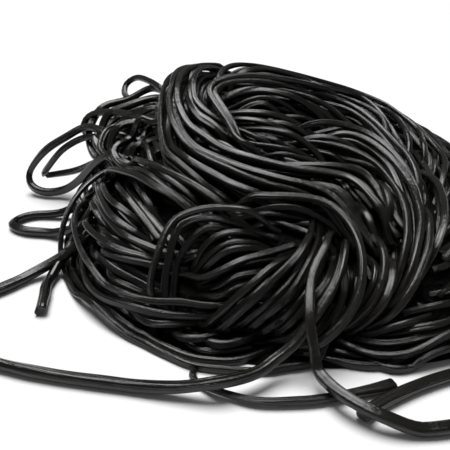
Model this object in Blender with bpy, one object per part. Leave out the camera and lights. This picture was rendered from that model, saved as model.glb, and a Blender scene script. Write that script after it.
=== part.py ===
"""A tangled heap of licorice laces, lying as it was tipped out on a table.

The heap is one solid: a low, lopsided dome stands for the laces packed inside, and the laces that
show on its outside are fused onto it at their true thickness. Lengths are written in millimetres and
turned into metres where the meshes are made. X runs to the right, Y away from the viewer and Z up,
and the origin is on the table under the middle of the heap.
"""
import math

import bmesh
import bpy
import numpy as np

MM = 0.001

# The lace
LACE_WIDTH = 4.0
LACE_SIDES = 5
LACE_STEP = 9.7

# The dome that the laces cover
FOOT_CENTRE = (5.0, 0.0)
FOOT_HALF = (111.0, 112.0)
FOOT_SQUARENESS = 2.3
RIM_STEEPNESS = 3.2
RIM_ROUNDNESS = 0.60
BODY_HEIGHT = 40.5
CROWN_RISE = 26.0
CROWN_WALL_X = -65.0
CROWN_WALL_SOFTNESS = 3.5
CROWN_RIDGE_Y = 38.0
CROWN_REACH = (100.0, 55.0)
SIDE_SLOPE = 0.05
RIGHT_DROP = 9.0
RIGHT_DROP_START = 50.0
RIGHT_DROP_RUN = 45.0

# How the core lies under the laces
CORE_DEPTH = 3.6
CORE_SPOKES = 32
CORE_RINGS = 8
FLOOR_GAP = 0.15

# Laces that lie on the dome: how far each stands over the skin, then its way in plan, in millimetres
COVER_ROUTES = {
    "crown_outer": (0.0, [(-47, 39), (-59, 30), (-61, 3), (-56, -26), (-42, -48), (-23, -61), (0, -62),
                          (14, -71), (19, -86), (12, -101), (-4, -108)]),
    "crown_middle": (0.0, [(-49, 45), (-56, 22), (-55, 3), (-46, -26), (-34, -41), (-16, -51), (6, -60),
                           (18, -75), (21, -92)]),
    "crown_inner": (0.0, [(-44, 45), (-50, 17), (-47, -3), (-32, -21), (-17, -31), (3, -36), (22, -42),
                          (32, -58), (30, -84)]),
    "fold": (1.0, [(-2, 20), (-19, 21), (-31, 15), (-37, 6), (-35, -4), (-29, -15), (-20, -28), (-4, -36)]),
    "top_edge": (0.0, [(-58, 34), (-44, 44), (-22, 38), (1, 30), (24, 32), (41, 28), (53, 8), (57, -20)]),
    "right_sweep": (0.0, [(-10, 12), (6, 10), (22, 2), (36, -16), (42, -44), (38, -72), (29, -94)]),
    "middle_sweep": (0.0, [(-33, -35), (-14, -42), (4, -47), (17, -60), (21, -80), (18, -98)]),
    "far_sweep": (0.0, [(30, 10), (47, -6), (55, -34), (52, -62), (43, -84), (28, -101), (8, -107)]),
    "arc": (1.0, [(-14, -62), (0, -63), (10, -70), (14, -84), (12, -97), (4, -106), (-12, -109)]),
    "fan_outer": (0.0, [(-5, -66), (-6, -75), (-12, -86), (-24, -95), (-34, -102), (-44, -103), (-54, -98)]),
    "fan_inner": (0.0, [(1, -64), (0, -75), (-6, -89), (-17, -100), (-32, -105), (-46, -105)]),
    "lobe_lower": (0.0, [(-96, -8), (-94, -34), (-84, -54), (-72, -69), (-54, -78), (-36, -78), (-17, -74)]),
    "lobe_upper": (0.0, [(-95, 12), (-91, -16), (-80, -46), (-67, -66), (-50, -76), (-34, -75)]),
    "strap": (0.5, [(-93, 14), (-82, -14), (-68, -35), (-54, -52), (-37, -67), (-24, -72)]),
    "shoulder": (0.0, [(-84, 40), (-79, 14), (-68, -20), (-50, -43), (-34, -57), (-18, -68)]),
    "left_turn": (0.0, [(-88, -20), (-97, -33), (-94, -50), (-81, -69), (-68, -84), (-52, -92)]),
    "rim_upper": (0.0, [(-99, -40), (-93, -60), (-78, -79), (-62, -92), (-42, -101), (-24, -106)]),
    "rim_lower": (-1.5, [(-103, -22), (-99, -50), (-87, -73), (-68, -91), (-48, -104), (-26, -110)]),
    "folded_strip": (2.0, [(-4, -73), (-18, -71), (-31, -67), (-42, -69), (-49, -75), (-53, -83), (-56, -93)]),
    "strip_inner": (0.5, [(-5, -75), (-18, -73), (-30, -72), (-39, -76), (-46, -83), (-51, -89)]),
    "base_right": (-0.5, [(-6, -108), (9, -110), (26, -109), (45, -105), (66, -94), (84, -76)]),
}

# Laces that leave the dome: their whole way in space, in millimetres
FREE_ROUTES = {
    "front_loop": [(10, -80, 28), (8, -89, 27), (1, -100, 19.5), (-9, -109, 10.5), (-20, -116, 6), (-34, -121, 5),
                   (-46, -120, 3), (-63, -117, 2), (-84, -113, 2), (-104, -107, 2), (-126, -97, 2),
                   (-134, -86, 2), (-128, -76, 2), (-115, -66, 2), (-105, -56, 3), (-92, -48, 8)],
    "hanging_lace": [(8, -68, 27), (5, -78, 31), (-1, -91, 27.5), (-4, -104, 21), (-4, -110, 15), (-2, -116, 6.5),
                     (4, -126, 6), (14, -133, 5), (26, -135, 2), (44, -131, 2), (66, -121, 2),
                     (82, -107, 3), (88, -90, 5)],
    "curved_end": [(-40, -106, 4), (-40, -113, 2), (-32, -120, 2), (-21, -124, 2), (-9, -124, 2),
                   (3, -122, 2), (12, -120, 2), (21, -117, 2)],
    "crossing_end": [(9, -130, 2), (17, -124, 2), (28, -118, 2), (40, -113, 2), (56, -108, 3), (70, -94, 6)],
    "left_end": [(-88, -38, 12), (-97, -48, 5), (-98, -60, 2), (-97, -71, 2), (-96, -80, 2)],
    "flat_loop": [(-96, -8, 9), (-107, -4, 3), (-119, -4, 2), (-126, -9, 2), (-126, -15, 2), (-119, -20, 2),
                  (-108, -22, 2), (-95, -26, 7)],
    "tall_loop": [(-85, 18, 32), (-98, 28, 34), (-109, 27, 29), (-120, 26, 22), (-129, 27, 11), (-128, 23, 5),
                  (-120, 19, 3), (-110, 18, 5), (-101, 14, 12), (-90, 6, 24)],
    "inner_loop": [(-82, 12, 33), (-97, 22, 31), (-109, 22, 25), (-119, 24, 14), (-122, 27, 9), (-115, 26, 10),
                   (-103, 19, 15), (-90, 8, 24)],
    "shoulder_ring": [(-58, 8, 44), (-71, 19, 42), (-84, 30, 41), (-96, 36, 38), (-101, 36, 33), (-98, 29, 29),
                      (-86, 14, 29)],
    "crown_ring": [(-60, 34, 51), (-68, 46, 52), (-76, 57, 51), (-82, 58, 47), (-81, 50, 43), (-68, 37, 42)],
    "shoulder_arc_upper": [(-56, 34, 49), (-72, 41, 46), (-89, 39, 40), (-96, 27, 31), (-90, 12, 24)],
    "shoulder_arc_middle": [(-56, 18, 46), (-70, 24, 44), (-83, 21, 39), (-87, 10, 31), (-80, -2, 29)],
    "shoulder_arc_lower": [(-56, 4, 44), (-69, 8, 42), (-78, 2, 35), (-74, -10, 31)],
}

# Laces round the far side, which run on from the sweep of the right side and cross as they go
BACK_LACES = 8
BACK_STEP = 18.0
BACK_REACH = (0.26, 0.97)
BACK_BEARINGS = (-58.0, 196.0)
BACK_DRIFT = 0.24
BACK_SWAY = 0.05
BACK_POINTS = 11
LEAST_HEIGHT = 2.4


def clear_scene():
    """Remove whatever the file opened with."""
    for thing in list(bpy.data.objects):
        bpy.data.objects.remove(thing, do_unlink=True)


def licorice():
    """Black, satin licorice."""
    material = bpy.data.materials.new("black_licorice")
    material.use_nodes = True
    shader = material.node_tree.nodes["Principled BSDF"]
    shader.inputs["Base Color"].default_value = (0.013, 0.012, 0.011, 1.0)
    shader.inputs["Roughness"].default_value = 0.36
    shader.inputs["Metallic"].default_value = 0.0
    return material


def reach(x, y, inset=0.0):
    """How far out a plan point lies: 0 at the middle of the foot, 1 on its outline."""
    across = np.abs(x - FOOT_CENTRE[0]) / (FOOT_HALF[0] - inset)
    along = np.abs(y - FOOT_CENTRE[1]) / (FOOT_HALF[1] - inset)
    return (across ** FOOT_SQUARENESS + along ** FOOT_SQUARENESS) ** (1.0 / FOOT_SQUARENESS)


def skin_height(x, y, inset=0.0):
    """Height of the heap at a plan point: a steep-sided body, with a crown that ends in a wall."""
    dome = np.clip(1.0 - reach(x, y, inset) ** RIM_STEEPNESS, 0.0, None) ** RIM_ROUNDNESS
    wall = 1.0 / (1.0 + np.exp((CROWN_WALL_X - x) / CROWN_WALL_SOFTNESS))
    fade_x = (np.clip(x + 50.0, 0.0, None) / CROWN_REACH[0]) ** 2
    fade_y = ((y - CROWN_RIDGE_Y) / CROWN_REACH[1]) ** 2
    crown = CROWN_RISE * wall * np.exp(-fade_x - fade_y)
    drop = RIGHT_DROP * np.clip((x - RIGHT_DROP_START) / RIGHT_DROP_RUN, 0.0, 1.0)
    body = BODY_HEIGHT - SIDE_SLOPE * (x - FOOT_CENTRE[0]) - drop
    return (body + crown - inset) * dome


def foot_point(bearing, share, inset=0.0):
    """Plan point at a bearing in radians and a share of the way out to the foot's outline."""
    c, s = math.cos(bearing), math.sin(bearing)
    stretch = (abs(c) ** FOOT_SQUARENESS + abs(s) ** FOOT_SQUARENESS) ** (-1.0 / FOOT_SQUARENESS)
    return (FOOT_CENTRE[0] + (FOOT_HALF[0] - inset) * stretch * c * share,
            FOOT_CENTRE[1] + (FOOT_HALF[1] - inset) * stretch * s * share)


def smooth_way(points, step):
    """Even samples, a step apart, of the smooth curve through the points."""
    knots = np.array(points, float)
    ends = np.vstack([2 * knots[0] - knots[1], knots, 2 * knots[-1] - knots[-2]])
    t = np.linspace(0.0, 1.0, 12, endpoint=False)[:, None]
    runs = []
    for a, b, c, d in zip(ends, ends[1:], ends[2:], ends[3:]):
        runs.append(0.5 * (2 * b + (c - a) * t + (2 * a - 5 * b + 4 * c - d) * t ** 2
                           + (3 * b - a - 3 * c + d) * t ** 3))
    dense = np.vstack(runs + [knots[-1:]])
    travelled = np.concatenate([[0.0], np.cumsum(np.linalg.norm(np.diff(dense, axis=0), axis=1))])
    count = max(4, round(travelled[-1] / step) + 1)
    wanted = np.linspace(0.0, travelled[-1], count)
    return np.stack([np.interp(wanted, travelled, dense[:, k]) for k in range(knots.shape[1])], axis=1)


def on_skin(plan, lift):
    """Put a plan curve on the dome, its middle half a lace under the skin."""
    x, y = plan[:, 0], plan[:, 1]
    z = skin_height(x, y) - 0.5 * LACE_WIDTH + lift
    return np.column_stack([x, y, np.maximum(z, LEAST_HEIGHT)])


def tube(name, way):
    """A closed lace with few sides along a curve in millimetres, its ends cut square."""
    run = np.gradient(way, axis=0)
    run /= np.linalg.norm(run, axis=1)[:, None]
    side = np.cross(run[0], (0.0, 0.0, 1.0))
    rings = []
    for middle, ahead in zip(way, run):
        side = side - ahead * np.dot(side, ahead)
        side /= np.linalg.norm(side)
        other = np.cross(ahead, side)
        angles = 2.0 * math.pi * np.arange(LACE_SIDES) / LACE_SIDES
        rings.append(middle + 0.5 * LACE_WIDTH * (np.outer(np.cos(angles), side)
                                                  + np.outer(np.sin(angles), other)))
    corners = np.vstack(rings)
    faces = []
    for k in range(len(way) - 1):
        for j in range(LACE_SIDES):
            a, b = k * LACE_SIDES + j, k * LACE_SIDES + (j + 1) % LACE_SIDES
            faces.append((a, b, b + LACE_SIDES, a + LACE_SIDES))
    last = (len(way) - 1) * LACE_SIDES
    faces.append(tuple(range(LACE_SIDES))[::-1])
    faces.append(tuple(range(last, last + LACE_SIDES)))
    return mesh_object(name, corners, faces)


def mesh_object(name, corners, faces):
    """A mesh object from corners in millimetres, its faces turned outwards."""
    mesh = bpy.data.meshes.new(name)
    mesh.from_pydata((np.asarray(corners) * MM).tolist(), [], faces)
    shape = bmesh.new()
    shape.from_mesh(mesh)
    bmesh.ops.recalc_face_normals(shape, faces=shape.faces)
    shape.to_mesh(mesh)
    shape.free()
    return bpy.data.objects.new(name, mesh)


def core():
    """The dome inside the laces: rings of points on the inset skin, closed by a flat underside."""
    shares = np.sin(np.linspace(0.0, 0.5 * math.pi, CORE_RINGS + 1))[1:]
    corners = [(FOOT_CENTRE[0], FOOT_CENTRE[1], float(skin_height(*FOOT_CENTRE, CORE_DEPTH)))]
    for share in shares:
        for spoke in range(CORE_SPOKES):
            x, y = foot_point(2.0 * math.pi * spoke / CORE_SPOKES, share, CORE_DEPTH)
            height = 0.0 if share == shares[-1] else float(skin_height(x, y, CORE_DEPTH))
            corners.append((x, y, height))
    faces = []
    for spoke in range(CORE_SPOKES):
        after = (spoke + 1) % CORE_SPOKES
        faces.append((0, 1 + spoke, 1 + after))
        for ring in range(CORE_RINGS - 1):
            inner, outer = 1 + ring * CORE_SPOKES, 1 + (ring + 1) * CORE_SPOKES
            faces.append((inner + spoke, outer + spoke, outer + after, inner + after))
    rim = 1 + (CORE_RINGS - 1) * CORE_SPOKES
    faces.append(tuple(rim + spoke for spoke in range(CORE_SPOKES))[::-1])
    return mesh_object("lace_heap", corners, faces)


def keep_outer_skin(mesh):
    """Keep the largest shell alone: hollows that the fusing sealed are filled, loose scraps dropped."""
    shape = bmesh.new()
    shape.from_mesh(mesh)
    left = set(shape.faces)
    shells = []
    while left:
        seed = left.pop()
        shell, front = [seed], [seed]
        while front:
            face = front.pop()
            for edge in face.edges:
                for other in edge.link_faces:
                    if other in left:
                        left.remove(other)
                        shell.append(other)
                        front.append(other)
        shells.append(shell)
    shells.sort(key=len)
    for shell in shells[:-1]:
        bmesh.ops.delete(shape, geom=shell, context="FACES")
    stray = [corner for corner in shape.verts if not corner.link_faces]
    bmesh.ops.delete(shape, geom=stray, context="VERTS")
    shape.to_mesh(mesh)
    shape.free()
    return mesh


def back_ways():
    """Laces round the far side: every other one drifts outwards as it goes, and the rest inwards."""
    ways = []
    for number in range(BACK_LACES):
        middle = BACK_REACH[0] + (BACK_REACH[1] - BACK_REACH[0]) * number / (BACK_LACES - 1)
        drift = BACK_DRIFT if number % 2 else -BACK_DRIFT
        points = []
        for stop in range(BACK_POINTS):
            t = stop / (BACK_POINTS - 1)
            bearing = math.radians(BACK_BEARINGS[0] + (BACK_BEARINGS[1] - BACK_BEARINGS[0]) * t)
            sway = BACK_SWAY * math.sin(2.0 * math.pi * (1.3 * t + 0.37 * number))
            share = min(max(middle + drift * (t - 0.5) + sway, BACK_REACH[0]), BACK_REACH[1])
            points.append(foot_point(bearing, share))
        ways.append(on_skin(smooth_way(points, BACK_STEP), 0.0))
    return ways


def heap():
    """Fuse every lace that shows onto the core."""
    body = core()
    bpy.context.scene.collection.objects.link(body)
    laces = bpy.data.collections.new("laces")
    bpy.context.scene.collection.children.link(laces)
    for name, (lift, plan) in COVER_ROUTES.items():
        laces.objects.link(tube(name, on_skin(smooth_way(plan, LACE_STEP), lift)))
    for name, points in FREE_ROUTES.items():
        way = smooth_way(points, LACE_STEP)
        way[:, 2] = np.maximum(way[:, 2], 0.5 * LACE_WIDTH + FLOOR_GAP)
        laces.objects.link(tube(name, way))
    for number, way in enumerate(back_ways()):
        laces.objects.link(tube(f"back_{number}", way))
    union = body.modifiers.new("fuse", "BOOLEAN")
    union.operation = "UNION"
    union.operand_type = "COLLECTION"
    union.collection = laces
    union.solver = "MANIFOLD"
    bpy.context.view_layer.update()
    fused = body.evaluated_get(bpy.context.evaluated_depsgraph_get())
    whole = bpy.data.meshes.new_from_object(fused)
    body.modifiers.clear()
    body.data = keep_outer_skin(whole)
    for lace in list(laces.objects):
        bpy.data.objects.remove(lace, do_unlink=True)
    bpy.data.collections.remove(laces)
    whole.name = "lace_heap"
    whole.materials.clear()
    whole.materials.append(licorice())
    print("triangles", sum(len(face.vertices) - 2 for face in whole.polygons))
    return body


clear_scene()
heap()
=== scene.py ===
"""A tangled heap of black licorice laces: the looks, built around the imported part.

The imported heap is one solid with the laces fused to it. Here every lace is a lace of its own: it
follows a way in plan that is laid on the heap's outside, and each later lace is pressed in under the
ones before it, so that they pass over and under each other without meeting. Lengths are written in
millimetres and turned into metres where a mesh is made. X runs to the right, Y away from the viewer
and Z up, and the origin is on the table under the middle of the heap.
"""

import logging
import math
from collections.abc import Callable
from dataclasses import dataclass, field
from enum import Enum

import bpy
import numpy as np
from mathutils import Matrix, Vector


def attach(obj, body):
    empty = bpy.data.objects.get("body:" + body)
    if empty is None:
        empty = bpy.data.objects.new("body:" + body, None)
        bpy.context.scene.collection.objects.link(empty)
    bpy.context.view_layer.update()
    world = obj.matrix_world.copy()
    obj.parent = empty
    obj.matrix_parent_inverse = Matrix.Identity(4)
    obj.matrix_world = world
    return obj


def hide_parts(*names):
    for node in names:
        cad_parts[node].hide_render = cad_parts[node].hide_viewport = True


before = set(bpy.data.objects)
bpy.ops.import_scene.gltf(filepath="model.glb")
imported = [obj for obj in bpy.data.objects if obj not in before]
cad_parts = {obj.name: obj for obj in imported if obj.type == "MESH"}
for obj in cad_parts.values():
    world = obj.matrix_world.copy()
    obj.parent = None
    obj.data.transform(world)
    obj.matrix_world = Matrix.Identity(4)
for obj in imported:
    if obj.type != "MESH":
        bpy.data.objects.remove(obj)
log = logging.getLogger("licorice")

MM = 0.001
TINY = 1e-9
CURVE_PARTS = 12
BELL_REACH = 2.5
SLIM_LENGTH = 60.0
WAVE_SHORTENINGS = (1.0, 1.83, 3.1)
WAVE_HEIGHTS = (0.55, 0.3, 0.15)
UNEVEN_PLACE = 0.35
UNEVEN_POINT = 1.1
HEAP_MIDDLE = (5.0, 0.0)
FAR_TURNS = (118.0, 205.0)
HEAP_NODE = "lace_heap"
UV_LAYER = "along_lace"
TONE_LAYER = "lace_tone"

Plan = tuple[tuple[float, float], ...]
Way = tuple[tuple[float, float, float], ...]

# Laces and edges of sheaves that can be followed in the photograph, by their ways in plan
CROWN_A: Plan = (
    (-38, 60), (-50, 51), (-58, 36), (-60, 20), (-60, 3), (-56, -26), (-48, -39), (-35, -54), (-23, -61),
    (0, -62), (13, -70), (19, -85),
)
CROWN_B: Plan = (
    (-34, 58), (-45, 49), (-53, 34), (-55, 20), (-55, 3), (-52, -11), (-46, -26), (-38, -35), (-16, -51),
    (-3, -56), (6, -61), (13, -72),
)
CROWN_C: Plan = (
    (-26, 54), (-38, 46), (-47, 32), (-50, 17), (-48, 2), (-41, -14), (-32, -21), (-17, -31), (3, -35),
    (25, -36), (33, -51),
)
CROWN_D: Plan = ((-18, 50), (-30, 43), (-40, 32), (-45, 20), (-46, 11), (-39, 2), (-31, -9), (-24, -25))
CROWN_E: Plan = ((-46, 5), (-38, -8), (-31, -15), (-26, -21), (-17, -30))
FOLD: Plan = (
    (26, 25), (10, 24), (-6, 21), (-19, 19), (-28, 16), (-34, 12), (-37, 6), (-35, -1), (-29, -14),
    (-24, -26), (-15, -31),
)
UNDER_A: Plan = ((-39, 5), (-29, 0), (-17, -3), (-2, -3), (7, -6))
UNDER_B: Plan = ((-37, -4), (-29, -8), (-21, -13), (-7, -20), (7, -29), (17, -34))
UNDER_C: Plan = (
    (-39, 5), (-30, 1), (-19, -4), (-5, -6), (10, -4), (27, -3), (38, -10), (44, -24), (45, -48),
    (41, -70), (34, -88), (22, -102),
)
EDGE_A: Plan = ((-44, 36), (-34, 38), (-18, 33), (1, 30), (24, 32), (41, 29), (54, 3))
EDGE_B: Plan = ((-40, 20), (-24, 19), (-9, 18), (15, 26), (32, 33), (42, 22), (50, 5))
RIGHT_A: Plan = (
    (-41, 9), (-30, 12), (-13, 13), (6, 9), (19, 3), (30, -6), (41, -28), (41, -54), (37, -75), (31, -91),
    (23, -102), (12, -108),
)
RIGHT_B: Plan = (
    (-12, 27), (8, 26), (24, 23), (33, 16), (40, -1), (47, -24), (48, -52), (44, -72), (37, -87),
    (27, -99), (14, -107),
)
DIAG_A: Plan = (
    (-38, -1), (-28, -6), (-15, -11), (0, -15), (17, -20), (31, -30), (37, -48), (37, -66), (33, -82),
    (26, -96), (14, -105),
)
MID_A: Plan = (
    (-33, -35), (-17, -41), (-2, -48), (9, -54), (17, -66), (20, -79), (20, -89), (15, -99), (6, -106),
    (-9, -110),
)
MID_B: Plan = (
    (-17, -31), (0, -40), (11, -47), (17, -54), (20, -63), (23, -73), (23, -86), (19, -97), (9, -106),
    (-5, -111),
)
MID_C: Plan = (
    (0, -31), (15, -35), (22, -45), (26, -60), (28, -76), (26, -89), (20, -100), (10, -107), (-3, -111),
)
FAR_A: Plan = ((32, -38), (37, -52), (40, -61), (38, -74), (32, -90), (26, -98), (17, -103))
FAR_B: Plan = ((58, -12), (57, -38), (51, -61), (42, -81), (34, -93), (24, -101), (12, -107))
ARC: Plan = (
    (-26, -59), (-15, -60), (-5, -60), (3, -61), (8, -64), (13, -72), (15, -83), (14, -93), (11, -100),
    (6, -105), (0, -108), (-7, -110),
)
ARC_IN: Plan = ((9, -70), (12, -78), (11, -86), (7, -94), (2, -100), (-3, -105), (-10, -109), (-18, -111))
FAN_A: Plan = (
    (-1, -66), (-4, -72), (-8, -83), (-16, -89), (-22, -94), (-29, -98), (-36, -101), (-42, -103),
    (-50, -102),
)
FAN_B: Plan = (
    (3, -66), (1, -76), (-3, -84), (-8, -91), (-14, -97), (-21, -101), (-28, -104), (-35, -106),
    (-43, -107), (-51, -104),
)
FAN_C: Plan = (
    (6, -66), (4, -78), (0, -88), (-5, -97), (-13, -103), (-22, -107), (-31, -108), (-41, -108),
)
LOW_A: Plan = ((-54, -93), (-45, -96), (-36, -97), (-28, -97), (-18, -96), (-11, -94))
LOW_B: Plan = ((-76, -82), (-69, -88), (-58, -95), (-50, -97), (-41, -98), (-30, -99), (-20, -98))
FRONT_A: Plan = ((-2, -104), (-16, -105), (-27, -104), (-36, -101), (-45, -96))
FRONT_B: Plan = ((0, -109), (-14, -110), (-25, -109), (-35, -107), (-46, -100))
LOBE_A: Plan = (
    (-91, -24), (-93, -31), (-86, -50), (-76, -65), (-65, -74), (-52, -79), (-38, -78), (-17, -74),
)
LOBE_B: Plan = ((-93, -6), (-86, -30), (-77, -51), (-69, -64), (-60, -72), (-51, -76), (-39, -76))
LOBE_C: Plan = ((-91, -1), (-79, -35), (-70, -52), (-59, -62), (-47, -71))
STEEP_A: Plan = ((-83, -11), (-76, -32), (-70, -45), (-64, -57))
STEEP_B: Plan = ((-70, -30), (-65, -42), (-57, -57), (-50, -67))
STRAP: Plan = ((-87, -7), (-73, -27), (-58, -47), (-49, -56), (-37, -68))
SHOULDER_A: Plan = ((-85, 13), (-69, -22), (-55, -41), (-41, -53), (-33, -65))
SHOULDER_B: Plan = ((-78, 13), (-71, -14), (-62, -31), (-45, -47), (-34, -57), (-25, -65), (-19, -69))
LEFT_A: Plan = (
    (-88, -23), (-94, -27), (-97, -35), (-93, -49), (-80, -69), (-73, -79), (-64, -87), (-55, -93),
)
LEFT_C: Plan = ((-88, -18), (-92, -34), (-88, -50), (-81, -63), (-73, -72), (-60, -83), (-53, -89))
WRAP_A: Plan = (
    (-90, 8), (-95, -10), (-96, -25), (-92, -43), (-84, -62), (-75, -77), (-65, -86), (-55, -92),
    (-45, -95), (-36, -97), (-27, -97),
)
WRAP_B: Plan = (
    (-92, 2), (-99, -20), (-100, -36), (-97, -50), (-89, -66), (-77, -81), (-64, -91), (-53, -97),
    (-45, -100), (-38, -101), (-29, -100),
)
RIM_A: Plan = (
    (-84, 4), (-95, -14), (-100, -32), (-99, -46), (-95, -57), (-86, -71), (-75, -84), (-63, -94),
    (-52, -101), (-43, -106), (-35, -108), (-26, -110), (-16, -111), (-5, -111),
)
RIM_B: Plan = (
    (-84, 2), (-94, -14), (-100, -28), (-101, -41), (-98, -54), (-93, -63), (-83, -76), (-72, -87),
    (-60, -97), (-49, -106), (-39, -112), (-28, -114), (-16, -114), (-5, -113),
)
DARK_A: Plan = (
    (-3, -71), (-8, -72), (-17, -72), (-26, -73), (-33, -74), (-39, -77), (-43, -81), (-47, -86),
)
DARK_B: Plan = (
    (-4, -78), (-8, -82), (-13, -85), (-21, -88), (-27, -89), (-33, -91), (-39, -91), (-45, -91),
    (-50, -90),
)
SINGLE: Plan = (
    (-10, -79), (-19, -83), (-22, -84), (-30, -87), (-35, -88), (-40, -88), (-44, -86), (-48, -84),
)
STRIP_A: Plan = (
    (-9, -72), (-18, -71), (-26, -70), (-33, -71), (-39, -72), (-44, -76), (-48, -80), (-50, -86),
    (-52, -94),
)
STRIP_B: Plan = (
    (-15, -69), (-26, -66), (-33, -65), (-39, -65), (-44, -66), (-48, -68), (-51, -73), (-53, -79),
    (-55, -85), (-56, -91), (-56, -94),
)
BASE_A: Plan = ((-1, -110), (9, -110), (20, -110), (33, -107), (45, -102), (66, -92), (84, -78))
BASE_B: Plan = ((-9, -114), (7, -113), (21, -113), (31, -110), (42, -107), (58, -103), (80, -92))
GLINT_A: Plan = ((14, -106), (23, -106), (33, -104), (45, -100), (60, -90))
GLINT_B: Plan = ((9, -108), (21, -107), (28, -108), (38, -107), (48, -103), (66, -92))

# The laces that leave the heap, each by its way in space
FRONT_LOOP: Way = (
    (11, -76, 29), (10, -82, 29), (8, -89, 27), (5, -95, 23.5), (1, -100, 19.5), (-4, -105, 15),
    (-9, -109, 10.5), (-15, -112, 7), (-20, -116, 6), (-26, -119, 6), (-34, -121, 6), (-46, -120, 3.5),
    (-63, -117, 2), (-84, -113, 2), (-104, -107, 2), (-126, -97, 2), (-134, -86, 2), (-128, -76, 2),
    (-115, -66, 2), (-105, -56, 3), (-92, -48, 8), (-84, -40, 14),
)
HANGING: Way = (
    (8, -68, 25), (7, -73, 30), (5, -78, 31.5), (3, -84, 31), (-1, -91, 27.5), (-3, -97, 24),
    (-4, -104, 21), (-4, -110, 17), (-3, -113, 11), (-2, -116, 6.5), (1, -122, 6), (6, -128, 6),
    (14, -133, 5), (26, -135, 2), (44, -131, 2), (66, -121, 2), (82, -107, 3), (88, -90, 5), (86, -76, 8),
)
CURVED_END: Way = (
    (-40, -110, 1.2), (-40, -113, 1.5), (-37, -117, 2), (-32, -120, 2), (-21, -124, 2), (-9, -124, 2),
    (-1, -123, 2), (12, -120, 2), (21, -117, 2),
)
CROSSING_END: Way = (
    (9, -130, 2), (17, -124, 2), (28, -118, 2), (40, -113, 2), (56, -108, 3), (70, -94, 6),
)
LEFT_END: Way = ((-84, -30, 20), (-93, -44, 8), (-98, -60, 2), (-97, -71, 2), (-96, -80, 2))
FLAT_LOOP: Way = (
    (-88, -4, 12), (-98, -4, 7), (-107, -4, 3), (-119, -4, 2), (-126, -9, 2), (-126, -15, 2),
    (-119, -20, 2), (-108, -22, 2), (-97, -26, 6), (-88, -30, 12),
)
TALL_LOOP: Way = (
    (-76, 14, 34), (-85, 18, 34), (-98, 28, 34), (-109, 27, 29), (-120, 26, 22), (-129, 27, 11),
    (-128, 23, 5), (-120, 19, 3), (-110, 18, 5), (-101, 14, 12), (-90, 6, 24), (-80, 0, 32),
)
INNER_LOOP: Way = (
    (-76, 8, 34), (-84, 13, 33), (-97, 22, 31), (-109, 22, 25), (-119, 24, 14), (-122, 27, 9),
    (-115, 26, 10), (-103, 19, 15), (-90, 8, 24), (-82, 0, 30),
)
SHOULDER_RING: Way = (
    (-58, 8, 44), (-71, 19, 42), (-84, 30, 41), (-96, 36, 38), (-101, 36, 33), (-98, 29, 29),
    (-86, 14, 29), (-78, 4, 32),
)
ARC_ABOVE: Way = (
    (-56, 34, 49), (-66, 40, 48), (-78, 42, 44), (-89, 39, 40), (-95, 32, 35), (-96, 23, 29),
    (-91, 14, 24), (-85, 6, 24),
)
ARC_BELOW: Way = (
    (-55, 2, 44), (-62, 6, 43), (-69, 7, 41), (-74, 5, 38), (-77, 0, 34), (-76, -6, 31), (-71, -13, 31),
    (-66, -18, 32),
)
CROWN_RING: Way = (
    (-60, 34, 51), (-68, 46, 52), (-76, 57, 51), (-82, 58, 47), (-81, 50, 43), (-70, 38, 42),
    (-62, 30, 44),
)


class LaceKind(Enum):
    """The kinds of lace, each of which becomes one joined mesh."""

    LOOSE = "loose_laces"
    CROWN = "crown_laces"
    FAN = "fan_laces"
    SWEEP = "sweep_laces"
    FAR = "far_laces"
    ROUND = "round_laces"


class End(Enum):
    """What the end of a lace does."""

    TUCKED = "runs on down between the laces under it"
    CUT = "shows, cut square and a little flared"


@dataclass(frozen=True)
class Sheaf:
    """Laces that run side by side, spread evenly between two edges given in plan."""

    kind: LaceKind
    first_edge: Plan
    last_edge: Plan
    lift: float = 0.0
    pitch: float = 2.4
    wander: float = 0.35


@dataclass(frozen=True)
class Strand:
    """One lace, or two stuck together, whose way is given in space or in plan.

    It is slimmer at its start by the share slim, and a tucked end runs on for the distance lead.
    """

    way: Way | Plan
    kind: LaceKind = LaceKind.LOOSE
    lift: float = 0.0
    doubled: bool = False
    start: End = End.TUCKED
    stop: End = End.TUCKED
    slim: float = 0.0
    breadth: float = 1.0
    lead: float = 9.0


@dataclass(frozen=True)
class Belt:
    """Long laces that run round the heap and fill what the sheaves leave open.

    Bearings are in degrees. Shares are shares of the way out from the middle to the foot's outline.
    """

    bearings: tuple[float, float]
    shares: tuple[float, float]
    drift: float
    most: int
    bearing_spread: float = 18.0
    samples: int = 240
    ripple: float = 0.035
    ripple_run: float = 400.0
    ripple_wave: float = 160.0
    limits: tuple[float, float] = (0.02, 0.985)


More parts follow.
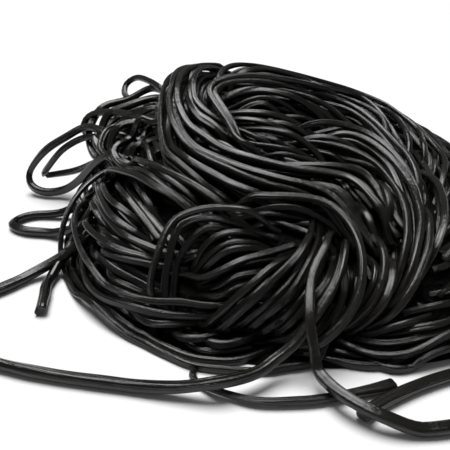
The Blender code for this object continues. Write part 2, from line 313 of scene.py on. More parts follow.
@dataclass(frozen=True)
class HeapForm:
    """The outside of the heap: a steep-sided body, with a crown that ends in a wall.

    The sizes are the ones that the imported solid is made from.
    """

    foot_centre: tuple[float, float] = HEAP_MIDDLE
    foot_half: tuple[float, float] = (111.0, 112.0)
    foot_squareness: float = 2.3
    rim_steepness: float = 3.2
    rim_roundness: float = 0.60
    body_height: float = 40.5
    crown_rise: float = 26.0
    crown_wall_x: float = -65.0
    crown_wall_softness: float = 3.5
    crown_fade_x: float = -50.0
    crown_ridge_y: float = 38.0
    crown_reach: tuple[float, float] = (100.0, 55.0)
    side_slope: float = 0.05
    right_drop: float = 9.0
    right_drop_start: float = 50.0
    right_drop_run: float = 45.0
    outermost: float = 0.985
    level_under: float = 3.0
    level_run: float = 9.0
    probe: float = 0.6

    def reach(self, x: np.ndarray, y: np.ndarray, inset: float = 0.0) -> np.ndarray:
        """How far out plan points lie: 0 at the middle of the foot, 1 on its outline.

        Args:
            x: Distances to the right.
            y: Distances away from the viewer.
            inset: How much smaller the outline is drawn on each side.

        Returns:
            The superellipse radius, the n-th root of the sum of the two n-th powers.
        """
        across = np.abs(x - self.foot_centre[0]) / (self.foot_half[0] - inset)
        along = np.abs(y - self.foot_centre[1]) / (self.foot_half[1] - inset)
        power = self.foot_squareness
        return (across ** power + along ** power) ** (1.0 / power)

    def height(self, x: np.ndarray, y: np.ndarray, inset: float = 0.0) -> np.ndarray:
        """Height of the outside over plan points.

        Args:
            x: Distances to the right.
            y: Distances away from the viewer.
            inset: How far inside the outside the surface is wanted.

        Returns:
            Body plus crown, times a dome that falls to 0 at the foot's outline.
        """
        share = self.reach(x, y, inset)
        dome = np.clip(1.0 - share ** self.rim_steepness, 0.0, None) ** self.rim_roundness
        wall = 1.0 / (1.0 + np.exp((self.crown_wall_x - x) / self.crown_wall_softness))
        fade_x = (np.clip(x - self.crown_fade_x, 0.0, None) / self.crown_reach[0]) ** 2
        fade_y = ((y - self.crown_ridge_y) / self.crown_reach[1]) ** 2
        crown = self.crown_rise * wall * np.exp(-fade_x - fade_y)
        drop = self.right_drop * np.clip((x - self.right_drop_start) / self.right_drop_run, 0.0, 1.0)
        body = self.body_height - self.side_slope * (x - self.foot_centre[0]) - drop
        return (body + crown - inset) * dome

    def outside(self, plan: np.ndarray) -> tuple[np.ndarray, np.ndarray]:
        """Points and outward normals of the outside over plan points.

        Args:
            plan: Points in plan, one a row.

        Returns:
            The points, and unit normals worked out from differences of height a small step apart. Near
            the floor they turn level, so that a lace there is pressed inwards and not down.
        """
        x, y = self.draw_in(plan, self.outermost).T
        points = np.column_stack([plan, self.height(plan[:, 0], plan[:, 1])])
        step = self.probe
        slope_x = (self.height(x + step, y) - self.height(x - step, y)) / (2.0 * step)
        slope_y = (self.height(x, y + step) - self.height(x, y - step)) / (2.0 * step)
        lifted = np.clip((points[:, 2] - self.level_under) / self.level_run, 0.0, 1.0)
        normals = unit(np.column_stack([-slope_x, -slope_y, np.ones(len(x))]))
        normals[:, 2] *= lifted
        return points, unit(normals)

    def draw_in(self, plan: np.ndarray, limit: np.ndarray | float) -> np.ndarray:
        """Plan points moved towards the middle of the foot until none lies farther out than its limit.

        Args:
            plan: Points in plan.
            limit: The largest share of the way out for each.

        Returns:
            The moved points.
        """
        share = self.reach(plan[:, 0], plan[:, 1])
        centre = np.array(self.foot_centre)
        return centre + (plan - centre) * np.minimum(1.0, limit / np.maximum(share, TINY))[:, None]

    def foot_point(self, bearing: np.ndarray, share: np.ndarray,
                   inset: np.ndarray | float = 0.0) -> np.ndarray:
        """Plan points at bearings in radians, a share of the way out to the foot's outline.

        Args:
            bearing: Directions from the middle of the foot.
            share: How far out, 1 on the outline.
            inset: How much smaller the outline is drawn on each side.

        Returns:
            Points in plan, with x and y along the last axis.
        """
        c, s = np.cos(bearing), np.sin(bearing)
        power = self.foot_squareness
        stretch = (np.abs(c) ** power + np.abs(s) ** power) ** (-1.0 / power)
        x = self.foot_centre[0] + (self.foot_half[0] - inset) * stretch * c * share
        y = self.foot_centre[1] + (self.foot_half[1] - inset) * stretch * s * share
        return np.stack([x, y], axis=-1)


def unit(vectors: np.ndarray) -> np.ndarray:
    """Vectors, one a row, brought to length 1."""
    return vectors / np.maximum(np.linalg.norm(vectors, axis=1), TINY)[:, None]


def sideways(plan: np.ndarray) -> np.ndarray:
    """Vectors of length 1 to the left of a way in plan, one for each of its points."""
    run = unit(np.gradient(plan, axis=0))
    return np.column_stack([-run[:, 1], run[:, 0]])


def resample(way: np.ndarray, count: int) -> np.ndarray:
    """Points at even distances along a way.

    Args:
        way: Points, one a row.
        count: How many points are wanted.

    Returns:
        The new points, ends included.
    """
    travelled = np.concatenate([[0.0], np.cumsum(np.linalg.norm(np.diff(way, axis=0), axis=1))])
    wanted = np.linspace(0.0, travelled[-1], count)
    return np.stack([np.interp(wanted, travelled, way[:, k]) for k in range(way.shape[1])], axis=1)


def evenly(way: np.ndarray, step: float, fewest: int = 5) -> np.ndarray:
    """A way with points about a step apart.

    Args:
        way: Points, one a row.
        step: The distance between the new points.
        fewest: The least number of them.

    Returns:
        The new points, ends included.
    """
    length = np.linalg.norm(np.diff(way, axis=0), axis=1).sum()
    return resample(way, max(fewest, round(length / step) + 1))


def smooth_way(points: Plan | Way, step: float) -> np.ndarray:
    """A smooth curve through points, sampled evenly.

    Between two points the curve is the cubic whose slope at each of them is half the way from the
    point before to the point after.

    Args:
        points: The points that the curve passes through, in plan or in space.
        step: The distance between samples.

    Returns:
        Samples, one a row.
    """
    knots = np.asarray(points, float)
    ends = np.vstack([2 * knots[0] - knots[1], knots, 2 * knots[-1] - knots[-2]])
    a, b, c, d = (ends[k:len(ends) - 3 + k, None, :] for k in range(4))
    t = np.linspace(0.0, 1.0, CURVE_PARTS, endpoint=False)[None, :, None]
    curve = 0.5 * (2 * b + (c - a) * t + (2 * a - 5 * b + 4 * c - d) * t ** 2
                   + (3 * b - a - 3 * c + d) * t ** 3)
    return evenly(np.vstack([curve.reshape(-1, knots.shape[1]), knots[-1:]]), step)


def run_on(way: np.ndarray, before: float, after: float, step: float) -> np.ndarray:
    """A way carried on straight past both its ends.

    Args:
        way: Points, one a row.
        before: The distance added at the start.
        after: The distance added at the end.
        step: The distance between the added points.

    Returns:
        The longer way.
    """
    first, last = unit((way[0] - way[2])[None])[0], unit((way[-1] - way[-3])[None])[0]
    lead = way[0] + first * np.arange(round(before / step), 0, -1)[:, None] * step
    tail = way[-1] + last * np.arange(1, round(after / step) + 1)[:, None] * step
    return np.vstack([lead, way, tail])


def slow_noise(stations: np.ndarray, wavelength: float, chance: np.random.Generator) -> np.ndarray:
    """A smooth random line between about -1 and 1.

    Args:
        stations: Where it is wanted, as distances along a lace.
        wavelength: The length of its longest wave.
        chance: The seeded source of its phases.

    Returns:
        The sum of three sine waves, each shorter and lower than the one before.
    """
    phases = chance.uniform(0.0, 2.0 * math.pi, len(WAVE_HEIGHTS))
    lengths = wavelength / np.array(WAVE_SHORTENINGS)
    waves = np.sin(2.0 * math.pi * stations[:, None] / lengths + phases)
    return waves @ np.array(WAVE_HEIGHTS)


def soften(values: np.ndarray, window: int, spread: float) -> np.ndarray:
    """The lowest value nearby, then smoothed: a lace bends down early and comes back slowly.

    Args:
        values: One value for each station.
        window: How many stations to each side are looked at for the lowest value.
        spread: The standard deviation of the bell curve that smooths, in stations.

    Returns:
        The softened values.
    """
    padded = np.pad(values, window, mode="edge")
    low = np.min([padded[k:k + len(values)] for k in range(2 * window + 1)], axis=0)
    reach = max(1, round(BELL_REACH * spread))
    bell = np.exp(-0.5 * (np.arange(-reach, reach + 1) / spread) ** 2)
    return np.convolve(np.pad(low, reach, mode="edge"), bell / bell.sum(), mode="valid")


def slimmed(width: float, slim: float, count: int, step: float) -> np.ndarray:
    """Breadths along a lace that is slimmer at its start, where it was drawn out of the heap.

    Args:
        width: Its usual breadth.
        slim: The share by which it is slimmer at its start, which falls off as a bell curve.
        count: The number of stations.
        step: The distance between them.

    Returns:
        A breadth for each station.
    """
    return width * (1.0 - slim * np.exp(-(np.arange(count) * step / SLIM_LENGTH) ** 2))


@dataclass
class Lace:
    """One lace as it lies: its middle line, which way is up on it, and its own width and twist."""

    kind: LaceKind
    way: np.ndarray
    upward: np.ndarray
    width: float
    tone: float
    turn: float
    start: End = End.TUCKED
    stop: End = End.TUCKED
    slim: float = 0.0

    def breadths(self, step: float) -> np.ndarray:
        """Its breadth at each station, which are a step apart."""
        return slimmed(self.width, self.slim, len(self.way), step)


@dataclass(frozen=True)
class Lie:
    """Where a lace lies: its middle line, the heap's normals along it and its depth under the outside."""

    way: np.ndarray
    normals: np.ndarray
    depth: np.ndarray
    width: float


@dataclass(frozen=True)
class Spread:
    """A sheaf laid out over the heap: ways in plan from edge to edge, and its breadth."""

    ways: np.ndarray
    breadth: float


@dataclass
class Pile:
    """Lays laces from the outermost to the innermost, each pressed in under those before it."""

    form: HeapForm = field(default_factory=HeapForm)
    step: float = 2.4
    lace_width: float = 2.8
    loose_width: float = 4.2
    width_spread: float = 0.10
    doubled_pitch: float = 0.93
    tuck_length: float = 13.0
    tuck_depth: float = 8.0
    tuck_spread: tuple[float, float] = (0.6, 1.2)
    strand_tuck: float = 4.0
    farthest_out: float = 1.06
    drawn_in: float = 0.012
    buried: float = 12.5
    dive: float = 17.0
    passes: int = 4
    near_enough: float = 0.05
    window: int = 1
    spread: float = 2.4
    floor_gap: float = 0.15
    give: float = 0.6
    shortest: int = 9
    hidden_ends: int = 2
    block: int = 20
    unevenness: float = 0.5
    uneven_wave: float = 70.0
    place_wander: float = 0.3
    place_wave: float = 110.0
    side_wave: float = 60.0
    tries: int = 5
    open_depth: float = 11.0
    least_share: float = 60.0
    places: int = 25
    breadth_quantile: float = 0.75
    fill_gap: float = 0.5
    fill_layers: float = 3.0
    seed: int = 20
    laces: list[Lace] = field(default_factory=list)
    spreads: dict[Sheaf, Spread] = field(default_factory=dict)

    def __post_init__(self) -> None:
        """Start with an empty table and a seeded source of chance."""
        self.chance = np.random.default_rng(self.seed)
        self.points = np.empty((0, 3))
        self.radii = np.empty(0)

    def overlap(self, points: np.ndarray, normals: np.ndarray, radius: float) -> np.ndarray:
        """How far points have to go inwards to clear the laces that lie already.

        A point meets an earlier one when their distance, measured across the normal, is under the
        sum of the radii. It clears it at that distance's chord below it, along the normal.

        Args:
            points: The new lace's middle line.
            normals: The outward direction at each point.
            radius: The new lace's radius.

        Returns:
            A distance for each point, 0 where it is clear.
        """
        drop = np.zeros(len(points))
        margin = 2.0 * self.lace_width
        for k in range(0, len(points), self.block):
            part = slice(k, k + self.block)
            low, high = points[part].min(axis=0) - margin, points[part].max(axis=0) + margin
            near = np.all((self.points > low) & (self.points < high), axis=1)
            if not near.any():
                continue
            offset = self.points[near][None] - points[part][:, None]
            along = np.einsum("ijk,ik->ij", offset, normals[part])
            across = np.einsum("ijk,ijk->ij", offset, offset) - along ** 2
            together = radius + self.radii[near][None]
            chord = np.sqrt(np.clip(together ** 2 - across, 0.0, None))
            drop[part] = np.where(np.abs(along) < chord, chord - along, 0.0).max(axis=1)
        return drop

    def keep(self, lace: Lace) -> None:
        """Add a lace to the pile, so that later ones are pressed in under it.

        Args:
            lace: The lace.
        """
        self.laces.append(lace)
        self.points = np.vstack([self.points, lace.way])
        self.radii = np.concatenate([self.radii, 0.5 * lace.breadths(self.step)])

    def draw_width(self, usual: float) -> float:
        """A width near the usual one."""
        return usual * (1.0 + self.width_spread * self.chance.uniform(-1.0, 1.0))

    def tucked(self, count: int, start: End = End.TUCKED, stop: End = End.TUCKED) -> np.ndarray:
        """How far each station of a lace goes down because an end runs on under other laces.

        Args:
            count: The number of stations.
            start: What the first end does.
            stop: What the last end does.

        Returns:
            A depth for each station, largest at a tucked end and falling off as a squared cosine.
        """
        from_start = np.arange(count) * self.step / self.tuck_length
        depth = np.zeros(count)
        for end, distance in ((start, from_start), (stop, from_start[::-1])):
            if end is End.TUCKED:
                depth += self.tuck_depth * np.cos(0.5 * math.pi * np.clip(distance, 0.0, 1.0)) ** 2
        return depth

    def above_floor(self, way: np.ndarray, width: float | np.ndarray) -> np.ndarray:
        """A way with no point nearer to the floor than half the lace's width."""
        return np.column_stack([way[:, :2], np.maximum(way[:, 2], 0.5 * width + self.floor_gap)])

    def press(self, plan: np.ndarray, lift: float) -> Lie:
        """Find how a lace comes to lie along a way in plan, pressed in under the laces before it.

        Args:
            plan: Its way in plan, sampled evenly.
            lift: How far it stands over the heap's outside.

        Returns:
            Where it lies.
        """
        width = self.draw_width(self.lace_width)
        skin, normals = self.form.outside(plan)
        stations = np.arange(len(plan)) * self.step
        depth = lift - 0.5 * width + self.unevenness * slow_noise(stations, self.uneven_wave, self.chance)
        depth = depth - self.tucked(len(plan))
        way = self.above_floor(skin + depth[:, None] * normals, width)
        for _ in range(self.passes):
            drop = self.overlap(way, normals, 0.5 * width)
            if drop.max() < self.near_enough:
                break
            depth = soften(depth - drop, self.window, self.spread)
            way = self.above_floor(skin + depth[:, None] * normals, width)
        squeezed = self.overlap(way, normals, 0.5 * width - self.give) > self.give
        if squeezed.any():
            depth = soften(np.where(squeezed, -self.dive, depth), self.window, self.spread)
            way = self.above_floor(skin + depth[:, None] * normals, width)
        return Lie(way, normals, depth, width)

    def settle(self, kind: LaceKind, lie: Lie) -> None:
        """Keep the stretches of a lace that show. Those deeper than the core's surface are left out.

        Args:
            kind: The mesh that it goes to.
            lie: Where it lies.
        """
        tone, turn = self.chance.uniform(0.0, 1.0, 2)
        shown = lie.depth > -self.buried
        edges = np.flatnonzero(np.diff(np.concatenate([[False], shown, [False]]).astype(int)))
        for first, last in zip(edges[::2], edges[1::2]):
            part = slice(max(first - self.hidden_ends, 0), min(last + self.hidden_ends, len(lie.way)))
            if part.stop - part.start >= self.shortest:
                self.keep(Lace(kind, lie.way[part], lie.normals[part], lie.width, tone, turn))

    def lay(self, kind: LaceKind, plan: np.ndarray, lift: float) -> None:
        """Lay one lace along a way in plan.

        Args:
            kind: The mesh that it goes to.
            plan: Its way in plan, sampled evenly.
            lift: How far it stands over the heap's outside.
        """
        self.settle(kind, self.press(plan, lift))

    def place(self, strand: Strand) -> None:
        """Put a lace that leaves the heap where its way in space says.

        Args:
            strand: The lace.
        """
        width = self.draw_width(self.loose_width * strand.breadth)
        leads = (strand.lead if end is End.TUCKED else 0.0 for end in (strand.start, strand.stop))
        way = run_on(smooth_way(strand.way, self.step), *leads, self.step)
        way[:, 2] -= self.tucked(len(way), strand.start, strand.stop)
        way = self.above_floor(way, slimmed(width, strand.slim, len(way), self.step))
        flattest = np.linalg.svd(way - way.mean(axis=0), full_matrices=False)[2][-1]
        upward = np.tile(flattest * (1.0 if flattest[2] >= 0.0 else -1.0), (len(way), 1))
        tone, turn = self.chance.uniform(0.0, 1.0, 2)
        self.keep(Lace(strand.kind, way, upward, width, tone, turn, strand.start, strand.stop, strand.slim))

    def lay_strand(self, strand: Strand) -> None:
        """Lay a single lace, or two stuck side by side, along a way in plan.

        Args:
            strand: The lace.
        """
        plan = self.tuck_in(smooth_way(strand.way, self.step), self.strand_tuck, self.strand_tuck)
        aside = sideways(plan)
        for side in (0.0, self.doubled_pitch) if strand.doubled else (0.0,):
            self.lay(strand.kind, plan + aside * side * self.lace_width, strand.lift)

    def tuck_in(self, plan: np.ndarray, before: float, after: float) -> np.ndarray:
        """Carry a way on past both ends, drawn in from the rim so that no end sticks out.

        Args:
            plan: The way in plan, sampled evenly.
            before: The distance added at the start.
            after: The distance added at the end.

        Returns:
            The longer way, sampled evenly.
        """
        longer = run_on(plan, before, after, self.step)
        lead, tail = round(before / self.step), round(after / self.step)
        beyond = np.concatenate([np.arange(lead, 0, -1), np.zeros(len(plan)), np.arange(1, tail + 1)])
        longer = self.form.draw_in(longer, self.farthest_out - self.drawn_in * self.step * beyond)
        return evenly(longer, self.step, self.shortest)

    def spread_of(self, sheaf: Sheaf) -> Spread:
        """The ways across a sheaf, at even distances from edge to edge over the heap's outside.

        Args:
            sheaf: The sheaf.

        Returns:
            Its spread, worked out once and kept. Its breadth is the one that it stays under in three
            quarters of its length.
        """
        if sheaf not in self.spreads:
            edges = [smooth_way(edge, self.step) for edge in (sheaf.first_edge, sheaf.last_edge)]
            count = max(len(edge) for edge in edges)
            first, last = (resample(edge, count) for edge in edges)
            place = np.linspace(0.0, 1.0, self.places)[:, None, None]
            plan = first + (last - first) * place
            skin = self.form.outside(plan.reshape(-1, 2))[0].reshape(self.places, count, 3)
            ways = np.stack([resample(np.hstack([skin[:, k], plan[:, k]]), self.places)[:, 3:]
                             for k in range(count)], axis=1)
            across = np.linalg.norm(np.diff(skin, axis=0), axis=2).sum(axis=0)
            self.spreads[sheaf] = Spread(ways, float(np.quantile(across, self.breadth_quantile)))
        return self.spreads[sheaf]

    def way_in_sheaf(self, sheaf: Sheaf, place: float, gap: float) -> np.ndarray:
        """The way of a lace in a sheaf, which wanders a little from its even place.

        Args:
            sheaf: The sheaf.
            place: Where it lies, 0 on the first edge and 1 on the last.
            gap: The share of the breadth from one lace to the next.

        Returns:
            The way in plan, run on past both ends.
        """
        ways = self.spread_of(sheaf).ways
        station = np.arange(ways.shape[1])
        stations = station * self.step
        wander = self.place_wander * gap * slow_noise(stations, self.place_wave, self.chance)
        share = (place + wander) * (self.places - 1)
        lower = np.clip(np.floor(share), 0, self.places - 2).astype(int)
        plan = ways[lower, station]
        plan = plan + (ways[lower + 1, station] - plan) * (share - lower)[:, None]
        aside = sheaf.wander * slow_noise(stations, self.side_wave, self.chance)
        plan = plan + sideways(plan) * aside[:, None]
        return self.tuck_in(plan, *(self.tuck_length * self.chance.uniform(*self.tuck_spread, 2)))

    def lay_sheaf(self, sheaf: Sheaf) -> None:
        """Lay the laces of a sheaf a pitch apart, in a mixed order.

        Args:
            sheaf: The sheaf.
        """
        laces = max(2, round(self.spread_of(sheaf).breadth / sheaf.pitch) + 1)
        for place in self.chance.permutation(np.linspace(0.0, 1.0, laces)):
            self.lay(sheaf.kind, self.way_in_sheaf(sheaf, place, 1.0 / (laces - 1)), sheaf.lift)

    def fill(self, kind: LaceKind, draw: Callable[[], np.ndarray], lift: float, most: int) -> int:
        """Lay laces under the others for as long as enough of the next one would show.

        Of several ways drawn each time, the lace takes the one along which it lies highest.

        Args:
            kind: The mesh that they go to.
            draw: Draws a way in plan.
            lift: How far they may stand over the heap's outside.
            most: The largest number of laces.

        Returns:
            How many were laid.
        """
        for number in range(most):
            lies = [self.press(draw(), lift) for _ in range(self.tries)]
            shares = [np.clip(lie.depth + self.open_depth, 0.0, None).sum() * self.step for lie in lies]
            best = int(np.argmax(shares))
            if shares[best] < self.least_share:
                return number
            self.settle(kind, lies[best])
        return most

    def fill_sheaf(self, sheaf: Sheaf, over: float, lift: float) -> int:
        """Fill the gaps in and around a sheaf with laces that run the same way, deeper down.

        Args:
            sheaf: The sheaf.
            over: How far past its edges the filling goes.
            lift: A height added to the sheaf's own.

        Returns:
            How many laces were laid.
        """
        breadth = self.spread_of(sheaf).breadth
        share = over / breadth

        def draw() -> np.ndarray:
            """A way at any place in the sheaf."""
            return self.way_in_sheaf(sheaf, self.chance.uniform(-share, 1.0 + share), self.fill_gap)

        most = round((breadth + 2.0 * over) / sheaf.pitch * self.fill_layers)
        return self.fill(sheaf.kind, draw, sheaf.lift + lift, most)

    def way_round(self, belt: Belt) -> np.ndarray:
        """A long way round the heap, which drifts outwards or inwards as it goes.

        Args:
            belt: Where it may run.

        Returns:
            The way in plan.
        """
        first, last = belt.bearings + self.chance.uniform(-belt.bearing_spread, belt.bearing_spread, 2)
        t = np.linspace(0.0, 1.0, belt.samples)
        bearing = np.radians(first + (last - first) * t)
        place = self.chance.uniform(*belt.shares)
        share = place + belt.drift * self.chance.uniform(-1.0, 1.0) * (t - 0.5)
        share = share + belt.ripple * slow_noise(t * belt.ripple_run, belt.ripple_wave, self.chance)
        return evenly(self.form.foot_point(bearing, np.clip(share, *belt.limits)), self.step)

    def fill_round(self, belt: Belt, lift: float) -> int:
        """Fill the heap with the laces of a belt, and say how many were laid."""
        return self.fill(LaceKind.ROUND, lambda: self.way_round(belt), lift, belt.most)


def turned(plan: Plan, degrees: float) -> Plan:
    """A way in plan turned round the middle of the heap.

    Args:
        plan: The way.
        degrees: The angle, anticlockwise from above.

    Returns:
        The turned way.
    """
    c, s = math.cos(math.radians(degrees)), math.sin(math.radians(degrees))
    offsets = np.array(plan) - HEAP_MIDDLE
    return tuple(map(tuple, offsets @ np.array([[c, s], [-s, c]]) + HEAP_MIDDLE))


def ways_between(first: Way, last: Way, count: int, moved: tuple[float, float, float],
                 seed: int) -> tuple[Way, ...]:
    """Ways in space, unevenly spread from one way to another that has as many points.

    Args:
        first: The first way.
        last: The last way.
        count: How many ways are wanted.
        moved: A distance by which all of them are moved.
        seed: Where the chance that makes them uneven starts.

    Returns:
        The ways.
    """
    chance = np.random.default_rng(seed)
    start, span = np.array(first) + moved, np.array(last) - np.array(first)
    spread = chance.uniform(-UNEVEN_PLACE, UNEVEN_PLACE, count)
    shares = np.linspace(0.0, 1.0, count) + spread / count
    return tuple(tuple(map(tuple, start + span * share + chance.normal(0.0, UNEVEN_POINT, start.shape)))
                 for share in shares)


LEAVING = (
    Strand(HANGING, slim=0.4),
    Strand(FRONT_LOOP, slim=0.3),
    Strand(CROSSING_END, start=End.CUT),
    Strand(LEFT_END, stop=End.CUT),
    Strand(FLAT_LOOP),
    Strand(TALL_LOOP, breadth=0.9),
    Strand(INNER_LOOP, breadth=0.8),
    Strand(SHOULDER_RING, breadth=0.8),
    Strand(CROWN_RING, breadth=0.7),
)

TOPMOST = (
    Strand(STRIP_B, LaceKind.FAN, lift=0.8, doubled=True),
    Strand(STRIP_A, LaceKind.FAN, lift=0.5),
    Strand(FOLD, LaceKind.CROWN, lift=0.8, doubled=True),
    Strand(ARC, LaceKind.CROWN, lift=1.0),
    Strand(STRAP, LaceKind.FAN, lift=1.0, doubled=True),
    Strand(SINGLE, LaceKind.FAN, lift=0.5),
)

SHEAVES = (
    Sheaf(LaceKind.CROWN, CROWN_A, CROWN_B, lift=0.5),
    Sheaf(LaceKind.FAN, RIM_B, RIM_A, pitch=1.0),
    Sheaf(LaceKind.FAN, FAN_A, FAN_B, lift=0.5),
    Sheaf(LaceKind.SWEEP, BASE_B, BASE_A, pitch=1.4),
    Sheaf(LaceKind.FAN, FAN_B, FAN_C),
    Sheaf(LaceKind.FAN, FAN_C, ARC_IN, lift=-0.5),
    Sheaf(LaceKind.FAN, ARC_IN, ARC, lift=-0.5),
    Sheaf(LaceKind.CROWN, CROWN_B, CROWN_C),
    Sheaf(LaceKind.CROWN, CROWN_C, CROWN_D, lift=-0.5),
    Sheaf(LaceKind.CROWN, CROWN_D, CROWN_E, lift=-1.0),
    Sheaf(LaceKind.SWEEP, MID_A, MID_B),
    Sheaf(LaceKind.SWEEP, MID_B, MID_C),
    Sheaf(LaceKind.SWEEP, UNDER_B, DIAG_A, lift=-0.5),
    Sheaf(LaceKind.SWEEP, UNDER_A, UNDER_B, lift=-1.5),
    Sheaf(LaceKind.SWEEP, DIAG_A, UNDER_C, lift=-0.5),
    Sheaf(LaceKind.SWEEP, RIGHT_A, RIGHT_B),
    Sheaf(LaceKind.SWEEP, EDGE_A, EDGE_B),
    Sheaf(LaceKind.SWEEP, FAR_A, FAR_B),
    Sheaf(LaceKind.FAN, SHOULDER_A, SHOULDER_B),
    Sheaf(LaceKind.FAN, STEEP_A, STEEP_B, lift=-0.5),
    Sheaf(LaceKind.FAN, LOBE_B, LOBE_C),
    Sheaf(LaceKind.FAN, LOBE_A, LOBE_B),
    Sheaf(LaceKind.FAN, WRAP_A, WRAP_B),
    Sheaf(LaceKind.FAN, WRAP_B, RIM_A),
    Sheaf(LaceKind.FAN, LEFT_C, LEFT_A, lift=-0.5),
    Sheaf(LaceKind.FAN, DARK_A, DARK_B, lift=-1.0),
    Sheaf(LaceKind.FAN, LOW_A, LOW_B, lift=-0.5),
    Sheaf(LaceKind.FAN, FRONT_A, FRONT_B, lift=-0.5),
    Sheaf(LaceKind.SWEEP, GLINT_A, GLINT_B, lift=-0.5),
)

# Sheaves that only show deep down, between the ones above
BETWEEN = tuple(Sheaf(kind, first, last, lift=-1.0) for kind, first, last in (
    (LaceKind.CROWN, SHOULDER_B, CROWN_A),
    (LaceKind.SWEEP, ARC, MID_A),
    (LaceKind.SWEEP, MID_C, RIGHT_A),
    (LaceKind.SWEEP, RIGHT_B, FAR_B),
    (LaceKind.SWEEP, RIGHT_B, EDGE_B),
    (LaceKind.FAN, STRIP_A, DARK_A),
    (LaceKind.FAN, DARK_B, SINGLE),
    (LaceKind.FAN, SINGLE, LOW_A),
    (LaceKind.FAN, LOW_B, RIM_A),
    (LaceKind.FAN, WRAP_B, RIM_B),
    (LaceKind.FAN, LOBE_C, SHOULDER_A),
    (LaceKind.FAN, FRONT_A, BASE_A),
))

# The far side and the right side aren't seen in the photograph: they repeat the ways of the left side
REPEATED = (
    (SHOULDER_A, SHOULDER_B), (STEEP_A, STEEP_B), (LOBE_B, LOBE_C), (LOBE_A, LOBE_B), (LEFT_C, LEFT_A),
    (RIM_A, RIM_B), (FAN_A, FAN_B), (LOW_A, LOW_B), (DARK_A, DARK_B),
)
FAR_SHEAVES = tuple(Sheaf(LaceKind.FAR, turned(first, turn), turned(last, turn), lift=-0.5, wander=0.9)
                    for turn in FAR_TURNS for first, last in REPEATED)

# Placed last of all, because their ends are under laces that lie there already
SHOULDER_ARCS = (ways_between(ARC_ABOVE, ARC_BELOW, 5, (0.0, 0.0, 0.0), 3)
                 + ways_between(ARC_ABOVE, ARC_BELOW, 7, (4.0, -1.5, -5.5), 4))
UNDERMOST = (
    Strand(CURVED_END, stop=End.CUT, slim=0.45, lead=3.0),
    *(Strand(way, breadth=0.85) for way in SHOULDER_ARCS),
)

UPPER_BELT = Belt((-62.0, 200.0), (0.10, 0.98), 0.30, 90)
DEEP_BELT = Belt((0.0, 360.0), (0.10, 0.97), 0.45, 60)


@dataclass(frozen=True)
class LaceSection:
    """The cross-section of a lace: two lobes side by side, with a groove between them on both sides."""

    corners: int = 20
    flatness: float = 1.0
    squareness: float = 0.9
    groove: float = 0.25
    groove_power: int = 6
    lean: float = 0.5
    twist_wave: float = 150.0
    twist_reach: float = 0.6
    swelling: float = 0.045
    swelling_wave: float = 37.0
    cut_bevel: float = 0.35
    cut_inset: float = 0.16
    flare: float = 0.24
    flare_length: float = 6.0
    flare_flattening: float = 0.6
    straight_run: float = 20.0

    def outline(self) -> np.ndarray:
        """The section of a lace of half-breadth 1, counted round from the right.

        It is an ellipse drawn out towards its corners by a power of sine and cosine, less a groove
        that is deepest in the middle of both broad sides, which leaves two lobes side by side.

        Returns:
            Its points, one a row.
        """
        turn = 2.0 * math.pi * np.arange(self.corners) / self.corners
        c, s = np.cos(turn), np.sin(turn)
        x = np.sign(c) * np.abs(c) ** self.squareness
        grooved = 1.0 - self.groove * s ** self.groove_power
        z = self.flatness * np.sign(s) * np.abs(s) ** self.squareness * grooved
        return np.column_stack([x, z])

    def rings(self, lace: Lace, step: float, chance: np.random.Generator) -> np.ndarray:
        """The corners of a lace's surface.

        At each station the section stands square to the run of the lace, turned by a slow random
        angle, and scaled by a slow random swelling. A cut end is pressed flatter and wider.

        Args:
            lace: The lace.
            step: The distance between its stations.
            chance: The seeded source of its unevenness.

        Returns:
            An array of stations by corners by three.
        """
        way = lace.way
        run = unit(np.gradient(way, axis=0))
        side = unit(np.cross(run, lace.upward))
        over = np.cross(side, run)
        stations = np.arange(len(way)) * step
        twist = self.twist_reach * slow_noise(stations, self.twist_wave, chance)
        angle = self.lean * (2.0 * lace.turn - 1.0) + twist
        flare = np.zeros(len(way))
        for end, distance in ((lace.start, stations), (lace.stop, stations[::-1])):
            if end is End.CUT:
                flare += self.flare * np.exp(-(distance / self.flare_length) ** 2)
                angle = angle * np.clip(distance / self.straight_run, 0.0, 1.0)
        swelling = 1.0 + self.swelling * slow_noise(stations, self.swelling_wave, chance)
        size = 0.5 * lace.breadths(step) * swelling
        c, s = np.cos(angle)[:, None], np.sin(angle)[:, None]
        outline = self.outline()
        x = (outline[:, 0] * c - outline[:, 1] * s) * (size * (1.0 + flare))[:, None]
        z = (outline[:, 0] * s + outline[:, 1] * c) * (size * (1.0 - self.flare_flattening * flare))[:, None]
        return way[:, None] + x[..., None] * side[:, None] + z[..., None] * over[:, None]

    def with_ends(self, rings: np.ndarray) -> np.ndarray:
        """Rings with a smaller ring added at each end, which rounds the edge of the cut.

        Args:
            rings: Stations by corners by three.

        Returns:
            Two rings more.
        """
        middles = rings.mean(axis=1, keepdims=True)
        first, last = (rings[end] + self.cut_inset * (middles[end] - rings[end])
                       + self.cut_bevel * unit(middles[end] - middles[inner])
                       for end, inner in ((0, 1), (-1, -2)))
        return np.concatenate([first[None], rings, last[None]])


